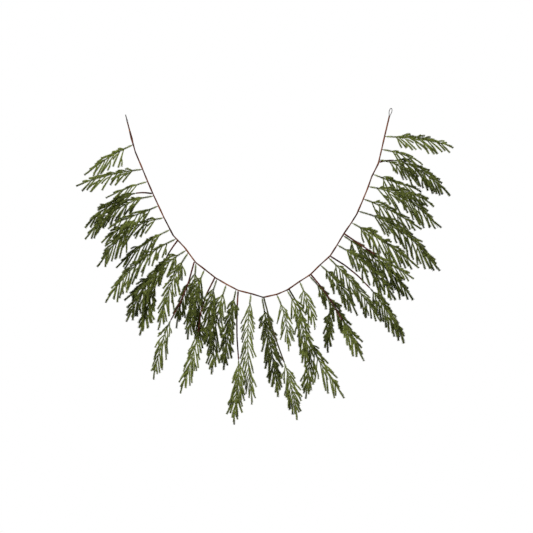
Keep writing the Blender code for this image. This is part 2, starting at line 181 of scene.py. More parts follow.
# How far branchlets sweep out from the rachis, in degrees, from a spray's foot to its tip, how much that
# strays, and how much more it is on the side that hangs
SWEEP_START = 34
SWEEP_END = 24
SWEEP_SPREAD = 4
UNDER_SWEEP = 4
# Their length along a spray is a sine with this start and run, in half turns, to this power
ENVELOPE = (0.24, 0.62, 0.7)
LENGTH_SPREAD = (0.88, 1.06)
TILT_SPREAD = 0.08
# The bare stalk of a tip spray, in mm, and of a fork, whose branchlets are this share of its parent's
TIP_SPRAY_BARE = 14
FORK_BARE = 40 * MM
FORK_WIDTH = 0.85
# A limb keeps its first direction for about this share of its length, and has this many straight runs
SPRAY_LEAD = 0.5
TIP_SPRAY_LEAD = 0.3
FORK_LEAD = 0.35
SPRAY_RUNS = 8
FORK_RUNS = 6
# How much a branchlet hangs at its root and at its end, and how much the last one does
DROOP = (0.05, 0.45)
LAST_DROOP = (0, 0.2)
# Sprays hang in layers this far apart, and reach theirs over a run
LAYER = 24 * MM
LAYER_RUN = 105 * MM
# A spray's plane is turned by up to this many degrees
MOST_TURN = 13
# Past a stretch at its root, a branchlet keeps this far from others and from the rachis, tested in steps
ROOT_STRETCH = 15 * MM
BRANCHLET_ROOM = 9.4 * MM
RACHIS_ROOM = 6.2 * MM
ROOM_STEP = 6 * MM
# A branchlet that would cross another tries these in turn: slope out of the spray's plane, share of length
WAYS_CLEAR = (
    (0.0, 1.0), (0.14, 1.0), (-0.14, 1.0), (0.28, 0.95), (-0.28, 0.95),
    (0.2, 0.75), (-0.2, 0.75), (0.0, 0.55), (0.1, 0.4),
)

# node: heading off the stem, end X, end Z, layer
TWIGS = {
    4: (-102, -456, -322, -1),
    8: (-40, -349, -572, 1),
    10: (-12, -326, -797, -1),
    12: (-32, -225, -842, 1),
    14: (-5, -73, -945, 0),
    16: (14, 98, -954, -2),
    18: (36, 184, -850, 1),
    20: (42, 315, -797, -1),
    22: (62, 420, -677, 1),
    24: (56, 437, -551, -1),
    30: (108, 510, -197, 1),
}

# name, node, shift along the stem, heading off it, tip X, tip Z, layer, bare length, widest branchlet,
# forks: (pair it leaves at, side, tip X, tip Z, layer from its parent)
SPRAYS = (
    ("spray_00", 0, 0, -66, -652, -255, 0, 34, 80, ()),
    ("spray_02", 2, 0, -84, -686, -298, -1, 32, 72, ()),
    ("spray_03", 3, 0, -76, -577, -343, 1, 34, 66, ()),
    ("spray_04", 4, 9, -84, -652, -496, 2, 46, 72, ()),
    ("spray_05", 5, 0, -66, -566, -446, -2, 34, 78, ()),
    ("spray_06", 6, 0, -84, -600, -602, 0, 30, 84, ((1, 1, -592, -506, 1),)),
    ("spray_07", 7, 0, -66, -536, -602, 2, 40, 76, ()),
    ("spray_08", 8, -8, -66, -570, -733, -1, 38, 80, ()),
    ("spray_09", 9, 0, -62, -491, -806, 0, 36, 84, ((3, -1, -446, -857, 1),)),
    ("spray_09_low", 9, 11, -34, -367, -836, -2, 40, 76, ()),
    ("spray_10", 10, 9, -4, -264, -872, 0, 36, 80, ((0, 1, -310, -830, 1),)),
    ("spray_11", 11, 0, -26, -204, -905, 2, 34, 80, ()),
    ("spray_12", 12, 9, -20, -171, -925, -1, 40, 80, ()),
    ("spray_13", 13, 0, -20, -167, -1003, 0, 36, 86, ()),
    ("spray_14", 14, -9, -12, -128, -985, -1, 38, 72, ()),
    ("spray_15", 15, 0, -8, -17, -1117, 1, 34, 76, ()),
    ("spray_16", 16, -7, 10, 80, -1089, 2, 60, 84, ()),
    ("spray_17", 17, 0, 26, 112, -915, -1, 34, 72, ()),
    ("spray_18", 18, -8, 34, 172, -980, 0, 34, 84, ()),
    ("spray_19", 19, 0, 24, 222, -834, 1, 30, 72, ()),
    ("spray_20", 20, -8, 44, 360, -874, 0, 46, 66, ((2, 1, 258, -922, 1),)),
    ("spray_21", 21, 0, 50, 370, -782, -2, 30, 72, ()),
    ("spray_22", 22, -8, 46, 462, -806, 0, 34, 80, ()),
    ("spray_23", 23, 0, 62, 517, -722, -1, 34, 80, ()),
    ("spray_24", 24, -8, 58, 585, -722, 0, 34, 86, ()),
    ("spray_25", 25, 0, 62, 607, -602, 1, 34, 86, ()),
    ("spray_26", 26, 0, 76, 675, -617, -2, 60, 86, ()),
    ("spray_27", 27, 0, 72, 615, -459, 1, 34, 76, ()),
    ("spray_28", 28, 0, 84, 682, -459, 0, 30, 84, ((1, -1, 667, -366, 1),)),
    ("spray_29", 29, 0, 70, 622, -306, 2, 34, 78, ()),
    ("spray_30", 30, 9, 86, 600, -300, -1, 40, 62, ()),
    ("spray_31", 31, 0, 82, 622, -212, 0, 34, 66, ()),
    ("spray_32", 32, 0, 88, 735, -146, -1, 32, 72, ()),
)

# twig: tip X, tip Z, widest branchlet, forks
TIP_SPRAYS = {
    4: (-652, -448, 84, ()),
    8: (-506, -722, 76, ()),
    10: (-394, -1020, 80, ()),
    12: (-296, -1074, 80, ()),
    14: (-96, -1190, 84, ()),
    16: (150, -1170, 84, ()),
    18: (330, -1089, 84, ((1, 1, 180, -1097, 1),)),
    20: (397, -951, 76, ()),
    22: (557, -883, 80, ()),
    24: (589, -643, 76, ()),
    30: (727, -328, 84, ()),
}

# Needles: their number to each millimetre of a shoot, length, half width and ridge at the root, and how far
# they lean out from the shoot, in degrees, at its foot and near its tip
NEEDLES_PER_MM = 2.15
NEEDLE_LENGTH = 12.0 * MM
NEEDLE_HALF_WIDTH = 1.5 * MM
NEEDLE_RIDGE = 0.8 * MM
NEEDLE_LEAN = (39, 33)
NEEDLE_LEAN_SPREAD = 5
GOLDEN_ANGLE = 2.39996
# A needle that would reach past its shoot's end leans out more, up to this many degrees, and is cut level
STEEPEST_LEAN = 42
# The first and last needles lie this far from a shoot's root and its end
FIRST_NEEDLE = 2.5 * MM
LAST_NEEDLE = 2.6 * MM
FEWEST_NEEDLES = 3
# Needles start this far out from the centre line, and stray: in mm along it, in radians round it, in length
NEEDLE_FOOT = 0.6 * MM
NEEDLE_SLIDE = 0.2
NEEDLE_TURN = 0.4
NEEDLE_REACH = (0.87, 1.04)
# Tones of single needles stray, and each is darker at its foot, painted shade among the crowded needles, and
# lighter at its point, a painted highlight on the outside of the shoot
NEEDLE_TONES = 0.3
FOOT_SHADE = 0.12
POINT_HIGHLIGHT = 0.14
NEEDLE_STEP = 1.5 * MM
SHOOT_STEPS = 7
CORE_RADIUS = 3.6 * MM
CORE_SIDES = 6
# A shoot swells from this share of its fullness at its root, over this share of its length
ROOT_SWELL = 0.58
SWELL_RUN = 0.5
# The tube inside a rachis: thicker at its foot and slimmer at its tip than the solid, and shorter
RACHIS_SIDES = 6
RACHIS_STEP = 5 * MM
RACHIS_ROUNDS = 6
RACHIS_FOOT = 1.08
RACHIS_TIP = 0.7
RACHIS_SHORTER = 8 * MM
# How full the needles are: on the stalk, the rachis, the shoots from a spray's foot to its tip, the twiglets
STALK_FULLNESS = 0.8
RACHIS_FULLNESS = 0.8
SHOOT_FULLNESS = (0.90, 0.92)
TWIGLET_FULLNESS = 0.9
RACHIS_DENSITY = 0.9
# Needles of the stalk run on this far past its end
STALK_OVER = 10 * MM
# Fullness and tone stray from spray to spray and from shoot to shoot
SPRAY_FULLNESSES = (0.95, 1.05)
SPRAY_TONES = 0.06
SHOOT_FULLNESSES = (0.93, 1.07)
SHOOT_TONES = 0.14
# Tones against the spray's own: stalk, rachis and cores are darker, as painted shade inside the foliage, and
# shoots darken towards its tip
STALK_SHADE = 0.06
RACHIS_SHADE = 0.1
CORE_SHADE = 0.25
DARKEST_SHADED_CORE = 0.05
FIRST_LIGHTER = 0.1
LAST_DARKER = 0.22
# Each shoot is lighter at its root than at its tip, by this much tone
TONE_FALL = 0.5
# How full and how light the foliage of single sprays is. Those that aren't named are usual
USUAL = (1.0, 0.37)
DARK = (1.08, 0.25)
LOOKS = {
    "spray_00": (0.95, 0.50), "spray_02": (0.92, 0.42), "spray_03": (0.80, 0.56), "spray_04": (0.96, 0.42),
    "spray_05": (0.92, 0.50), "spray_07": (0.98, 0.36), "spray_09": DARK, "spray_09_low": (0.92, 0.50),
    "spray_11": (0.95, 0.50), "spray_12": DARK, "spray_13": (0.94, 0.48), "spray_14": DARK,
    "spray_15": (0.82, 0.58), "spray_16": DARK, "spray_17": (0.82, 0.58), "spray_18": (0.94, 0.44),
    "spray_19": (0.82, 0.58), "spray_20": DARK, "spray_21": (0.95, 0.38), "spray_22": (0.95, 0.44),
    "spray_23": DARK, "spray_24": DARK, "spray_26": DARK, "spray_27": (0.98, 0.32),
    "spray_29": (0.94, 0.46), "spray_30": (0.98, 0.34), "spray_31": (0.84, 0.48), "spray_32": (0.92, 0.46),
    "tip_spray_04": DARK, "tip_spray_10": (0.90, 0.54), "tip_spray_12": (0.90, 0.54),
    "tip_spray_14": (0.92, 0.48), "tip_spray_16": (0.92, 0.52), "tip_spray_18": (0.94, 0.44),
    "tip_spray_22": DARK, "tip_spray_24": (0.92, 0.50), "tip_spray_30": DARK,
}
# Shoots stray from the rule: turned and curled in the spray's plane, raised, slid along the rachis, hanging
# more or less, and of other length
TURN_SPREAD = math.radians(6)
CURL_SPREAD = 0.34
RISE_SPREAD = 0.14
SLIDE_SPREAD = 5 * MM
HANG_SPREAD = (0.7, 1.25)
SHOOT_LENGTHS = (0.82, 1.08)
# The droop that a shoot gains on its way, against the solid's, with the share it starts at and its power
LATE_DROOP = 1.5
DROOP_START = 0.14
DROOP_POWER = 1.6
# As it runs out, a shoot bends round to follow the spray's own direction, by this much
FOLLOW = 0.4
# A shoot may leave the box of its spray's solid by this much, or is shortened to these shares in turn
ROOM_OVER = 1.5 * MM
SHRINKS = (1.0, 0.93, 0.85, 0.75, 0.6)
# Shoots between two pairs sweep out less, by this many degrees
BETWEEN_SWEEP = 2
# Near a spray's tip no shoot is longer than this share of what is left of the rachis
TIP_TAPER = 0.66
# Shoots on the side that hangs are longer, by this share, and those on the side above are shorter
UNDER_LONGER = 0.3
# A side shoot leaves a long branchlet part-way, turned in the spray's plane, and runs on beside it. It is
# likelier near a spray's foot and on a full spray
TWIGLET_FROM = 28 * MM
TWIGLET_CHANCE = 1.25
TWIGLET_POWER = 4
TWIGLET_STEPS = (1, 4)
TWIGLET_LENGTH = (0.5, 0.85)
TWIGLET_ANGLE = math.radians(30)
TWIGLET_LAST_ANGLE = math.radians(6)


# The plan of the sprays, by the same rules as their CAD solids

def table_point(x, z):
    return Vector(((x - LEFT_BEARING[0]) * MM, 0, (z - LEFT_BEARING[1]) * MM))


class Stem:
    """The swag's centre line, read by the distance along it from its left end."""

    def __init__(self):
        self.points = [table_point(x, z) for x, z in SWAG]
        self.distances = [0.0]
        for a, b in zip(self.points, self.points[1:]):
            self.distances.append(self.distances[-1] + (b - a).length)
        self.length = self.distances[-1]

    def at(self, distance):
        run = 0
        while run < len(self.points) - 2 and self.distances[run + 1] < distance:
            run += 1
        a, b = self.points[run], self.points[run + 1]
        along = (b - a).normalized()
        return a + along * (distance - self.distances[run]), along

    def node(self, number, shift=0.0):
        return self.at(FIRST_NODE + number * NODE_PITCH + shift * MM)

    def frame(self, distance):
        centre, along = self.at(distance)
        after = self.at(min(distance + FRAME_STEP, self.length))[1]
        along = (along + after).normalized()
        return centre, along, Vector((along.z, 0, -along.x))


def heading(degrees):
    angle = math.radians(degrees)
    return Vector((math.sin(angle), 0, -math.cos(angle)))


def layer_depth(layer, run, length):
    share = min(1.0, run / min(LAYER_RUN, length))
    return layer * LAYER * share * share * (3 - 2 * share)


def bent_path(start, way, end, layer, count, lead):
    chord = (end - start).length
    pull = start + way * chord * lead
    points = []
    for step in range(count + 1):
        u = step / count
        place = start * (1 - u) ** 2 + pull * 2 * u * (1 - u) + end * u ** 2
        points.append(place + Vector((0, layer_depth(layer, u * chord, chord), 0)))
    return points


def off_stem(stem, node, shift, way, half_thickness):
    centre, along = stem.node(node, shift)
    slant = abs(along.dot(way))
    square = math.sqrt(1 - slant * slant)
    clear = WRAP_RADIUS + GAP + half_thickness * slant
    return centre + way * (clear / square)


def crowded(points, placed, room):
    if not placed or not points:
        return False
    return any((p - q).length < room for p in points for q in placed)


def branchlet_path(start, along, up, length, rise, droop):
    count = 3 if length > LONG_BRANCHLET else 2 if length > SHORT_BRANCHLET else 1
    shares = [(ring + FIRST_BEND) / (count + BENDS_OVER) for ring in range(count)] + [1.0]
    places = [start]
    for before, share in zip([0.0] + shares, shares):
        hang = droop[0] + (droop[1] - droop[0]) * share
        way = (along + up * rise + Vector((0, 0, -hang))).normalized()
        places.append(places[-1] + way * length * (share - before))
    return places[1:]


def spaced_points(start, places, skip):
    points, run = [], 0.0
    for a, b in zip([start] + places, places):
        reach = (b - a).length
        for k in range(int(reach / ROOM_STEP) + 1):
            if run + k * ROOM_STEP >= skip:
                points.append(a.lerp(b, min(1.0, k * ROOM_STEP / reach)))
        run += reach
    return points + [places[-1]]


def walk(path, up, distance):
    run = 0
    while run < len(path) - 2 and distance > (path[run + 1] - path[run]).length:
        distance -= (path[run + 1] - path[run]).length
        run += 1
    share = distance / (path[run + 1] - path[run]).length
    ahead = (path[run + 1] - path[run]).normalized()
    if run:
        before = (path[run] - path[run - 1]).normalized()
        ahead = (before * (1 - share) + ahead * (1 + share)).normalized()
    side = up.cross(ahead).normalized()
    return path[run].lerp(path[run + 1], share), ahead, side, ahead.cross(side)


class Shoot:
    """A needled branchlet, with the share of the rachis where it starts and the rachis's own direction."""

    def __init__(self, root, out, up, length, rise, droop, share, ahead=None, last=False):
        self.root, self.out, self.up = root, out, up
        self.length, self.rise, self.droop = length, rise, droop
        self.share, self.ahead, self.last = share, ahead, last

    def places(self, rng, shrink):
        """The centre line, bent down step by step as it goes out."""
        turn = float(np.clip(rng.normal(0, TURN_SPREAD), -2 * TURN_SPREAD, 2 * TURN_SPREAD))
        curl = rng.uniform(-CURL_SPREAD, CURL_SPREAD)
        hangs = rng.uniform(*HANG_SPREAD)
        rise = self.rise + rng.uniform(-RISE_SPREAD, RISE_SPREAD)
        slide = rng.uniform(-SLIDE_SPREAD, SLIDE_SPREAD)
        length = self.length * rng.uniform(*SHOOT_LENGTHS) * shrink
        if self.last:
            turn, slide, length = turn / 2, 0.0, self.length * shrink
        level = self.up.cross(self.out)
        out = self.out * math.cos(turn) + level * math.sin(turn)
        places = [self.root + (self.ahead or self.out) * slide]
        for step in range(SHOOT_STEPS):
            share = min(1.0, (step + 0.5) / SHOOT_STEPS + DROOP_START)
            late = (self.droop[1] - self.droop[0]) * share ** DROOP_POWER * LATE_DROOP
            hang = (self.droop[0] + late) * hangs
            bend = level * (curl * share * share) + (self.ahead or self.out) * (FOLLOW * share)
            way = (out + bend + self.up * rise + Vector((0, 0, -hang))).normalized()
            places.append(places[-1] + way * length / SHOOT_STEPS)
        return np.array([tuple(p) for p in places])


def twiglet(places, level, rng):
    """A side shoot that leaves a branchlet part-way and runs on beside it."""
    first = int(rng.integers(*TWIGLET_STEPS))
    steps = np.diff(places[first:], axis=0) * rng.uniform(*TWIGLET_LENGTH)
    hand = 1 if rng.uniform() < 0.5 else -1
    turns = np.linspace(TWIGLET_ANGLE, TWIGLET_LAST_ANGLE, len(steps)) * hand
    aside = np.linalg.norm(steps, axis=1) * np.sin(turns)
    steps = steps * np.cos(turns)[:, None] + np.array(level) * aside[:, None]
    return np.vstack([places[first], places[first] + np.cumsum(steps, axis=0)])


def envelope_at(share):
    return math.sin(math.pi * (ENVELOPE[0] + ENVELOPE[1] * share)) ** ENVELOPE[2]


def plan_limb(limbs, path, up, bare, widest, forks, draw, placed):
    """Adds this limb, its shoots and its forks' limbs, with the CAD solid's draws in the same order."""
    total = sum((b - a).length for a, b in zip(path, path[1:]))
    leafy = total - bare
    pairs = max(FEWEST_PAIRS, round(leafy / PAIR_PITCH))
    pitch = leafy / (pairs + LAST_RUN)
    spine = spaced_points(path[0], path[1:], 0)
    limb = {"path": path, "bare": bare, "total": total, "shoots": []}
    limbs.append(limb)
    grown = {1: [], -1: []}
    for pair in range(pairs):
        share = pair / pairs
        spot = bare + pitch * pair
        half = RACHIS_HALF + (RACHIS_TIP_HALF - RACHIS_HALF) * (spot / total)
        here, ahead, side, lift = walk(path, up, spot)
        there = walk(path, up, spot + SEAT)[0]
        sweep = SWEEP_START + (SWEEP_END - SWEEP_START) * share
        for hand in (1, -1):
            middle = (here + there) / 2 + side * hand * half
            under = -side.z * hand
            angle = math.radians(
                sweep + UNDER_SWEEP * under + draw.uniform(-SWEEP_SPREAD, SWEEP_SPREAD)
            )
            length = widest * envelope_at(share) * draw.uniform(*LENGTH_SPREAD)
            tilt = draw.uniform(-TILT_SPREAD, TILT_SPREAD)
            out = ahead * math.cos(angle) + side * hand * math.sin(angle)
            fork = next((f for f in forks if f[0] == pair and f[1] == hand), None)
            if fork is not None:
                tip = table_point(fork[2], fork[3]) + Vector((0, middle.y, 0))
                limb_path = bent_path(middle, out, tip, fork[4], FORK_RUNS, FORK_LEAD)
                plan_limb(limbs, limb_path, lift * hand, FORK_BARE, widest * FORK_WIDTH, (), draw, placed)
                grown[hand].append(None)
                continue
            beyond = [p for p in spine if (p - middle).length > ROOT_STRETCH]
            found = None
            for rise, part in WAYS_CLEAR:
                reach = length * part
                places = branchlet_path(middle, out, lift * hand, reach, rise + tilt, DROOP)
                points = spaced_points(middle, places, ROOT_STRETCH)
                if crowded(points, placed, BRANCHLET_ROOM) or crowded(points, beyond, RACHIS_ROOM):
                    continue
                shown = min(reach, TIP_TAPER * (total - spot)) * (1 - UNDER_LONGER * side.z * hand)
                root = middle - side * hand * half
                found = Shoot(root, out, lift * hand, shown, rise + tilt, DROOP, share, ahead)
                placed += points
                break
            grown[hand].append(found)
    for hand, shoots in grown.items():
        limb["shoots"] += [s for s in shoots if s]
        for pair in range(pairs):
            near = [s for s in shoots[pair:pair + 2] if s]
            if not near or pair == pairs - 1:
                continue
            share = (pair + 0.5) / pairs
            here, ahead, side, lift = walk(path, up, bare + pitch * (pair + 0.5) + SEAT / 2)
            angle = math.radians(SWEEP_START + (SWEEP_END - SWEEP_START) * share - BETWEEN_SWEEP)
            out = ahead * math.cos(angle) + side * hand * math.sin(angle)
            length = sum(s.length for s in near) / len(near)
            length = min(length, (total - bare - pitch * (pair + 0.5)) * TIP_TAPER)
            rise = sum(s.rise for s in near) / len(near)
            limb["shoots"].append(Shoot(here, out, lift * hand, length, rise, DROOP, share, ahead))
    spot = bare + pitch * (pairs - 1)
    there, ahead, side, lift = walk(path, up, spot + SEAT)
    limb["shoots"].append(Shoot(there, ahead, lift, total - spot - SEAT, 0, LAST_DROOP, 1.0, last=True))


def plan_spray(path, way, bare, widest, forks, draw):
    turn = math.radians(draw.uniform(-MOST_TURN, MOST_TURN))
    level = Vector((0, 1, 0)).cross(way)
    up = Vector((0, math.cos(turn), 0)) + level * math.sin(turn)
    limbs = []
    plan_limb(limbs, path, up, bare * MM, widest * MM, forks, draw, [])
    return limbs


# Mesh making

class Pieces:
    """Triangles gathered for one object, with a material number for each and a tone for each corner."""

    def __init__(self):
        self.corners, self.faces, self.slots, self.tones = [], [], [], []
        self.count = 0

    def add(self, corners, faces, slot=0, tone=0.5):
        self.corners.append(corners)
        self.faces.append(faces + self.count)
        self.slots.append(np.full(len(faces), slot, np.int32))
        self.tones.append(np.broadcast_to(np.asarray(tone, np.float32), (len(corners),)))
        self.count += len(corners)

    def finish(self, name, materials, smooth_slots=()):
        # The few corners that would stand outside the CAD model's overall box are moved onto its faces
        corners = np.clip(np.concatenate(self.corners), *cad_box).astype(np.float32)
        faces = np.concatenate(self.faces).astype(np.int32)
        slots = np.concatenate(self.slots)
        mesh = bpy.data.meshes.new(name)
        mesh.vertices.add(len(corners))
        mesh.vertices.foreach_set("co", corners.ravel())
        mesh.loops.add(faces.size)
        mesh.loops.foreach_set("vertex_index", faces.ravel())
        mesh.polygons.add(len(faces))
        mesh.polygons.foreach_set("loop_start", np.arange(0, faces.size, 3, dtype=np.int32))
        mesh.polygons.foreach_set("material_index", slots)
        mesh.polygons.foreach_set("use_smooth", np.isin(slots, smooth_slots))
        tone = mesh.attributes.new("tone", "FLOAT", "POINT")
        tone.data.foreach_set("value", np.concatenate(self.tones))
        for material in materials:
            mesh.materials.append(material)
        mesh.update(calc_edges=True)
        obj = bpy.data.objects.new(name, mesh)
        bpy.context.collection.objects.link(obj)
        return obj


def unit(rows):
    return rows / np.maximum(np.linalg.norm(rows, axis=-1, keepdims=True), 1e-12)


def carried_frames(points):
    """The direction at each point of a path, and two directions across it that don't twist."""
    steps = unit(np.diff(points, axis=0))
    along = unit(np.vstack([steps[:1], steps[:-1] + steps[1:], steps[-1:]]))
    across = np.zeros_like(along)
    first = np.array([0.0, 1.0, 0.0])
    if abs(along[0] @ first) > 0.9:
        first = np.array([1.0, 0.0, 0.0])
    for i, a in enumerate(along):
        first = first - a * (first @ a)
        first = first / np.linalg.norm(first)
        across[i] = first
    return along, across, np.cross(along, across)


def tube(points, radii, sides, frames=None, flatten=None):
    """A closed tube along points. radii has a value for each point, or for each point and side."""
    points = np.asarray(points, float)
    _, across, over = frames if frames is not None else carried_frames(points)
    angles = np.arange(sides) * math.tau / sides
    radii = np.asarray(radii, float)
    if radii.ndim == 1:
        radii = np.repeat(radii[:, None], sides, axis=1)
    wide, deep = (1.0, 1.0) if flatten is None else flatten
    wide = np.broadcast_to(np.asarray(wide, float), (len(points),))
    deep = np.broadcast_to(np.asarray(deep, float), (len(points),))
    ring = (across[:, None] * (np.cos(angles)[None, :, None] * wide[:, None, None])
            + over[:, None] * (np.sin(angles)[None, :, None] * deep[:, None, None]))
    corners = points[:, None] + ring * radii[..., None]
    corners = np.vstack([corners.reshape(-1, 3), points[:1], points[-1:]])
    count = len(points)
    rows = np.arange(count - 1)[:, None] * sides
    side = np.arange(sides)[None]
    after = (side + 1) % sides
    a, b, c, d = rows + side, rows + after, rows + sides + after, rows + sides + side
    faces = np.concatenate([np.stack([a, b, c], -1).reshape(-1, 3), np.stack([a, c, d], -1).reshape(-1, 3)])
    start, end = count * sides, count * sides + 1
    s = np.arange(sides)
    n = (s + 1) % sides
    last = (count - 1) * sides
    caps = np.concatenate([
        np.stack([np.full(sides, start), n, s], -1),
        np.stack([np.full(sides, end), last + s, last + n], -1),
    ])
    return corners, np.concatenate([faces, caps])


def resample(points, step):
    """Evenly spaced points along a polyline, with how far along it each lies."""
    points = np.asarray([tuple(p) for p in points], float)
    runs = np.r_[0, np.cumsum(np.linalg.norm(np.diff(points, axis=0), axis=1))]
    count = max(2, int(round(runs[-1] / step)) + 1)
    spots = np.linspace(0, runs[-1], count)
    return np.stack([np.interp(spots, runs, points[:, k]) for k in range(3)], -1), spots


def smoothed(points, rounds):
    """Rounds the bends of evenly spaced points, with both ends kept."""
    points = points.copy()
    for _ in range(rounds):
        points[1:-1] = (points[:-2] + 2 * points[1:-1] + points[2:]) / 4
    return points


def swelling(share):
    return ROOT_SWELL + (1 - ROOT_SWELL) * np.clip(share / SWELL_RUN, 0, 1)


def grow_needles(pieces, points, rng, tone, fullness=1.0, density=1.0, swells=False):
    """Closed slim spikes set spirally round a shoot's centre line."""
    line, spots = resample(points, NEEDLE_STEP)
    length = spots[-1]
    count = int((length - FIRST_NEEDLE - LAST_NEEDLE) / MM * NEEDLES_PER_MM * density)
    if count < FEWEST_NEEDLES:
        return
    along, across, _ = carried_frames(line)
    slide = rng.uniform(-NEEDLE_SLIDE, NEEDLE_SLIDE, count) * MM
    where = np.linspace(FIRST_NEEDLE, length - LAST_NEEDLE, count) + slide
    centre = np.stack([np.interp(where, spots, line[:, k]) for k in range(3)], -1)
    ahead = unit(np.stack([np.interp(where, spots, along[:, k]) for k in range(3)], -1))
    u = np.stack([np.interp(where, spots, across[:, k]) for k in range(3)], -1)
    u = unit(u - ahead * np.sum(u * ahead, axis=-1, keepdims=True))
    v = np.cross(ahead, u)
    turn = np.arange(count) * GOLDEN_ANGLE + rng.uniform(-NEEDLE_TURN, NEEDLE_TURN, count)
    radial = u * np.cos(turn)[:, None] + v * np.sin(turn)[:, None]
    share = where / length
    full = fullness * (swelling(share) if swells else np.ones(count))
    reach = NEEDLE_LENGTH * full * rng.uniform(*NEEDLE_REACH, count)
    lean = np.radians(NEEDLE_LEAN[0] + (NEEDLE_LEAN[1] - NEEDLE_LEAN[0]) * share
                      + rng.uniform(-NEEDLE_LEAN_SPREAD, NEEDLE_LEAN_SPREAD, count))
    left = length - where
    blunt = np.arccos(np.clip(left / reach, math.cos(math.radians(STEEPEST_LEAN)), 1.0))
    lean = np.maximum(lean, blunt)
    reach = np.minimum(reach, left / np.cos(lean))
    way = ahead * np.cos(lean)[:, None] + radial * np.sin(lean)[:, None]
    foot = centre + radial * (NEEDLE_FOOT * full)[:, None]
    wide = unit(np.cross(way, radial)) * (NEEDLE_HALF_WIDTH * full)[:, None]
    ridge = unit(np.cross(wide, way)) * (NEEDLE_RIDGE * full)[:, None]
    corners = np.stack([foot + wide, foot - wide, foot + ridge, foot + way * reach[:, None]], 1)
    base = (np.arange(count) * 4)[:, None, None]
    faces = base + np.array([(0, 2, 1), (0, 1, 3), (1, 2, 3), (2, 0, 3)])[None]
    tones = tone + TONE_FALL * (0.5 - share) + rng.uniform(-NEEDLE_TONES, NEEDLE_TONES, count)
    tones = np.repeat(np.clip(tones, 0, 1)[:, None], 4, axis=1)
    # Painted shade at each needle's foot and a painted highlight at its point
    tones[:, :3] = np.clip(tones[:, :3] - FOOT_SHADE, 0, 1)
    tones[:, 3] = np.clip(tones[:, 3] + POINT_HIGHLIGHT, 0, 1)
    pieces.add(corners.reshape(-1, 3), faces.reshape(-1, 3), 0, tones.ravel())


def fitted(shoot, box, rng):
    """The shoot's centre line, drawn anew and shorter while it leaves the box of the spray's CAD solid."""
    low, high = (np.array(corner) for corner in box)
    for shrink in SHRINKS:
        places = shoot.places(rng, shrink)
        if (places > low - ROOM_OVER).all() and (places < high + ROOM_OVER).all():
            break
    return places


def dress_spray(name, limbs, materials, rng):
    """One object for a spray: its stalks, the cores of its shoots and their needles."""
    pieces = Pieces()
    fullness, tone = LOOKS.get(name, USUAL)
    fullness *= rng.uniform(*SPRAY_FULLNESSES)
    tone += rng.uniform(-SPRAY_TONES, SPRAY_TONES)
    # The cores of the shoots are dark fillers: painted shade inside each shoot
    core_shade_tone = max(DARKEST_SHADED_CORE, tone - CORE_SHADE)
    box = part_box(name)
    for limb in limbs:
        line, spots = resample(limb["path"], RACHIS_STEP)
        line = smoothed(line, RACHIS_ROUNDS)
        share = spots / spots[-1]
        first, last = RACHIS_HALF * RACHIS_FOOT, RACHIS_TIP_HALF * RACHIS_TIP
        radii = first + (last - first) * share
        inner = spots < limb["total"] - RACHIS_SHORTER
        corners, faces = tube(line[inner], radii[inner], RACHIS_SIDES)
        pieces.add(corners, faces, 1)
        stalk = line[spots < limb["bare"] + STALK_OVER]
        # Stalk and rachis needles are darker: painted shade near the stem and under the shoots
        grow_needles(pieces, stalk, rng, tone - STALK_SHADE, STALK_FULLNESS)
        between = (spots > limb["bare"]) & (spots < limb["total"] - limb["shoots"][-1].length + SEAT)
        rachis_full = fullness * RACHIS_FULLNESS
        grow_needles(pieces, line[between], rng, tone - RACHIS_SHADE, rachis_full, RACHIS_DENSITY)
        for shoot in limb["shoots"]:
            places = fitted(shoot, box, rng)
            full = fullness * (SHOOT_FULLNESS[0] + (SHOOT_FULLNESS[1] - SHOOT_FULLNESS[0]) * shoot.share)
            full *= rng.uniform(*SHOOT_FULLNESSES)
            radii = CORE_RADIUS * full * swelling(np.linspace(0, 1, len(places)))
            corners, faces = tube(places[:-1], radii[:-1], CORE_SIDES)
            pieces.add(corners, faces, 0, core_shade_tone)
            shade = tone + rng.uniform(-SHOOT_TONES, SHOOT_TONES) + FIRST_LIGHTER - LAST_DARKER * shoot.share
            grow_needles(pieces, places, rng, shade, full, swells=True)
            if shoot.last or shoot.length < TWIGLET_FROM:
                continue
            if rng.uniform() > TWIGLET_CHANCE * (1 - shoot.share) * fullness ** TWIGLET_POWER:
                continue
            places = twiglet(places, shoot.up.cross(shoot.out), rng)
            corners, faces = tube(places[:-1], radii[:len(places) - 1], CORE_SIDES)
            pieces.add(corners, faces, 0, core_shade_tone)
            grow_needles(pieces, places, rng, shade, full * TWIGLET_FULLNESS, swells=True)
    piece = pieces.finish(f"{name}_foliage", materials, smooth_slots=(1,))
    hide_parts(name)
    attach(piece, "root")


def dress_twig(node, path, material, rng):
    line, spots = resample(path, TWIG_STEP)
    line = smoothed(line, TWIG_ROUNDS)
    share = spots / spots[-1]
    radii = (TWIG_RADIUS + (TWIG_TIP_RADIUS - TWIG_RADIUS) * share) * TWIG_THICKER
    rough = 1 + rng.uniform(*BARK_ROUGH, (len(line), TWIG_SIDES))
    rough[[0, -1]] = 1.0
    pieces = Pieces()
    corners, faces = tube(line, radii[:, None] * rough, TWIG_SIDES)
    pieces.add(corners, faces, 0, GREEN_TWIGS.get(node, 0.0))
    piece = pieces.finish(f"twig_{node:02d}_bark", [material], smooth_slots=(0,))
    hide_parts(f"twig_{node:02d}")
    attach(piece, "root")


